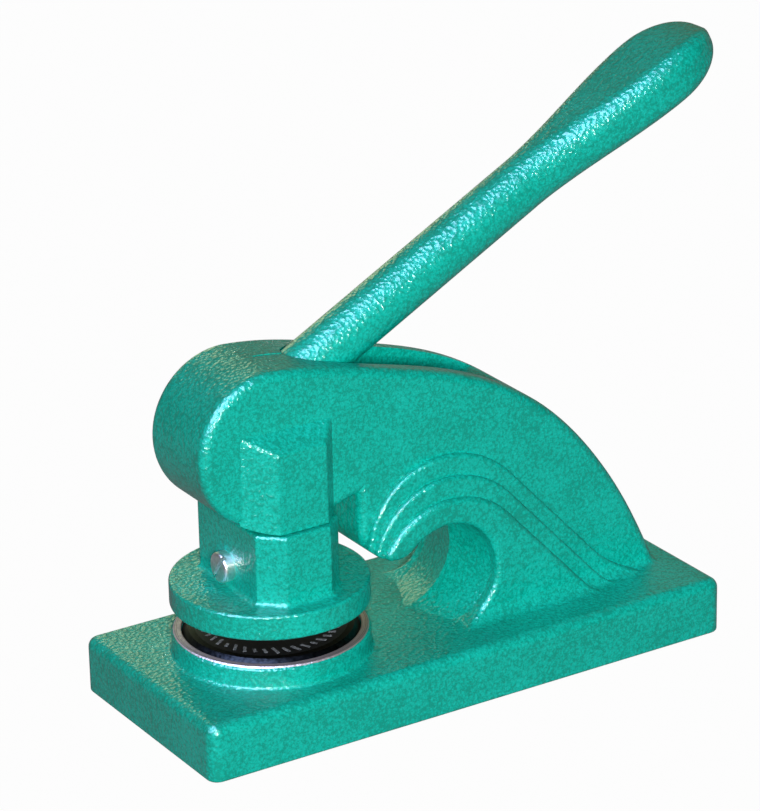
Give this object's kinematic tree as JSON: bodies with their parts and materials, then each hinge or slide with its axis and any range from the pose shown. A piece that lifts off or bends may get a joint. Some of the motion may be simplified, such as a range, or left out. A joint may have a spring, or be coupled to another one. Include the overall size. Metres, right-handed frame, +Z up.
{
  "type": "embossing press",
  "caption": "Desk embossing press: cast C-frame on a flat base, hand lever on a pivot, guided ram and a pair of round dies that emboss paper in the throat.",
  "frame": {"origin": "on the die axis, at the underside of the base", "axes": "+Z up along the die axis, +X from the dies towards the heel and the lever's free end, Y across the base; XZ is the middle plane"},
  "size_m": [0.1889, 0.072, 0.1722],
  "materials": {
    "green_paint": "gloss hammertone enamel over cast iron",
    "steel": "turned and hardened steel",
    "bronze": "turned bronze",
    "black_steel": "blackened steel",
    "black_counter": "moulded black counter"
  },
  "bodies": {
    "frame": {"frame_casting": "green_paint", "pivot_pin": "steel", "pivot_grub_screw": "steel", "guide_bush": "bronze", "spring_washer": "steel", "return_spring": "steel", "lower_die": "black_steel", "lower_counter_plate": "black_counter", "lower_die_dowel": "steel", "lower_die_screw": "steel"},
    "lever": {"hand_lever": "green_paint"},
    "ram": {"ram_block": "green_paint", "guide_pins": "steel", "thrust_cap": "steel", "upper_die": "black_steel", "upper_die_plate": "bronze", "upper_die_dowel": "steel", "upper_die_screw": "steel"}
  },
  "joints": [
    {"name": "lever_pivot", "type": "hinge", "parent": "frame", "child": "lever", "pos_m": [-0.0133, 0, 0.0832], "axis": [0, 1, 0], "range_deg": [0, 20], "stiffness_Nm_per_rad": 0.62, "springref_deg": -42.4},
    {"name": "ram_slide", "type": "slide", "parent": "frame", "child": "ram", "axis": [0, 0, -1], "range_m": [0, 0.0048], "deforming": ["return_spring"]}
  ],
  "couplings": [
    {"joint": "ram_slide", "follows": "lever_pivot", "m_per_rad": 0.01355}
  ]
}
